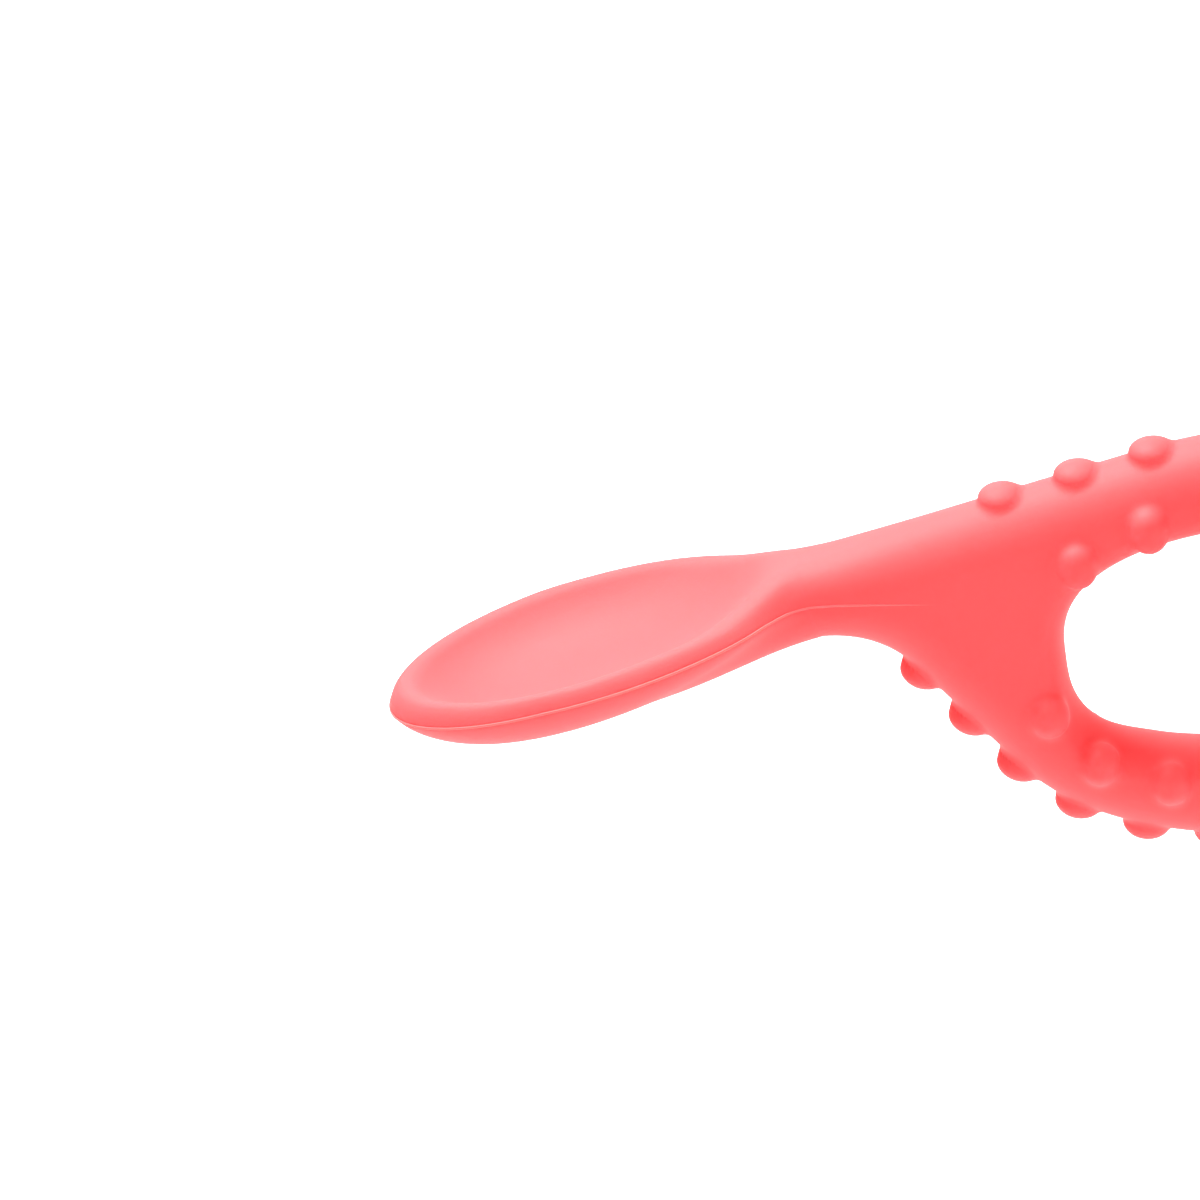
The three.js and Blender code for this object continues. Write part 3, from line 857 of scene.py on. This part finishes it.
def add_parting_line():
    """A fine bead along the parting line: an oval that lies half in the skin and square to it,
    and sinks in at both ends."""
    path = parting_path()
    normal = field_slope(skin_field, path)
    normal /= np.linalg.norm(normal, axis=1, keepdims=True)
    way = np.gradient(path, axis=0)
    side = np.cross(normal, way)
    side /= np.linalg.norm(side, axis=1, keepdims=True)
    reached = np.concatenate([[0], np.cumsum(np.linalg.norm(np.diff(path, axis=0), axis=1))])
    proud = ease(np.minimum(reached, reached[-1] - reached), 0, PARTING_FADE)[:, None, None]
    turn = np.linspace(0, 2 * math.pi, PARTING_SIDES, endpoint=False)[:, None]
    rise = PARTING_RISE * (np.sin(turn) + proud - 1)
    rings = path[:, None] + rise * normal[:, None] + PARTING_WIDTH / 2 * np.cos(turn) * side[:, None]
    number = np.arange(rings.shape[0] * PARTING_SIDES).reshape(-1, PARTING_SIDES)
    after = np.roll(number, -1, axis=1)
    quads = np.stack([number[:-1], after[:-1], after[1:], number[1:]], -1).reshape(-1, 4)
    ends = [number[0, ::-1].tolist(), number[-1].tolist()]
    # the bead takes the paler silicone, its painted highlight
    add_piece("parting_line", rings.reshape(-1, 3), quads.tolist() + ends, painted_highlight_flash, [])


nubs = ridge_nubs() + face_nubs("nub_front", -1, FRONT_ROW) + face_nubs("nub_back", 1, BACK_ROW)
add_silicone()
for nub in nubs:
    add_nub(nub)
add_parting_line()

nylon = nylon_finish()
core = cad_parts["stiffener_core"]
core.data.materials.clear()
core.data.materials.append(nylon)

# Stage

VIEW_ELEVATION = math.radians(25)
CAMERA_DISTANCE = 2.0
SENSOR_WIDTH = 36.0  # millimetres
CLIP_END = 20.0
FRAME_WIDTH = 0.4 / 3  # across the picture at the spoon
LOOK_AT = Vector((3.64, 0, 9.22)) * MM
FLOOR_Z = -0.13
FLOOR_HALF_WIDTH = 8.0
FLOOR_COLOUR = (0.9, 0.9, 0.9, 1)
WHITE = (1, 1, 1, 1)
WORLD_LIGHT = 0.54  # share of full white that lights the spoon


def add_camera():
    """A long lens at the photograph's angle, rolled to the lean of the pull, so that the spoon
    rises to the right."""
    right = Vector((math.cos(PULL_LEAN), 0, -math.sin(PULL_LEAN)))
    away = Vector((0, 1, 0))
    toward = away * math.cos(VIEW_ELEVATION) - Vector(PULL) * math.sin(VIEW_ELEVATION)
    up = right.cross(toward)
    data = bpy.data.cameras.new("camera")
    data.sensor_width = SENSOR_WIDTH
    data.lens = SENSOR_WIDTH * CAMERA_DISTANCE / FRAME_WIDTH
    data.clip_end = CLIP_END
    camera = bpy.data.objects.new("camera", data)
    turn = Matrix((right, up, -toward)).transposed().to_4x4()
    camera.matrix_world = Matrix.Translation(LOOK_AT - toward * CAMERA_DISTANCE) @ turn
    bpy.context.collection.objects.link(camera)
    bpy.context.scene.camera = camera


def add_lamp(name, place, size, power):
    """A square soft box that faces the spoon."""
    data = bpy.data.lights.new(name, "AREA")
    data.size = size
    data.energy = power
    lamp = bpy.data.objects.new(name, data)
    aim = (LOOK_AT - Vector(place)).to_track_quat("-Z", "Y")
    lamp.matrix_world = Matrix.Translation(place) @ aim.to_matrix().to_4x4()
    bpy.context.collection.objects.link(lamp)


def add_floor():
    """A wide pale floor below the spoon."""
    half = FLOOR_HALF_WIDTH
    mesh = bpy.data.meshes.new("floor")
    corners = [(-half, -half), (half, -half), (half, half), (-half, half)]
    mesh.from_pydata([(x, y, FLOOR_Z) for x, y in corners], [], [(0, 1, 2, 3)])
    material, make = blank_material("pale_floor")
    shader = make.node("ShaderNodeBsdfDiffuse", None, {"Color": FLOOR_COLOUR})
    make.node("ShaderNodeOutputMaterial", None, {"Surface": shader})
    mesh.materials.append(material)
    floor = bpy.data.objects.new("floor", mesh)
    bpy.context.collection.objects.link(floor)


def set_world():
    """A plain white surround, at full white where it is seen directly or in a reflection."""
    world = bpy.data.worlds.new("studio")
    world.use_nodes = True
    world.node_tree.nodes.clear()
    make = Shade(world.node_tree)
    path = make.node("ShaderNodeLightPath")
    outputs = path.socket.node.outputs
    seen = Shade(world.node_tree, outputs["Is Camera Ray"])
    for name in ("Is Glossy Ray", "Is Transmission Ray"):
        seen = seen.math("MAXIMUM", Shade(world.node_tree, outputs[name]))
    strength = WORLD_LIGHT + (1 - WORLD_LIGHT) * seen
    sky = make.node("ShaderNodeBackground", None, {"Color": WHITE, "Strength": strength})
    make.node("ShaderNodeOutputWorld", None, {"Surface": sky})
    bpy.context.scene.world = world


add_camera()
add_floor()
set_world()
add_lamp("top_box", place=(0.0, 0.14, 0.9), size=0.5, power=25.0)
add_lamp("back_box", place=(0.1, 0.9, 0.45), size=0.8, power=3.0)
bpy.context.scene.view_settings.view_transform = "Standard"
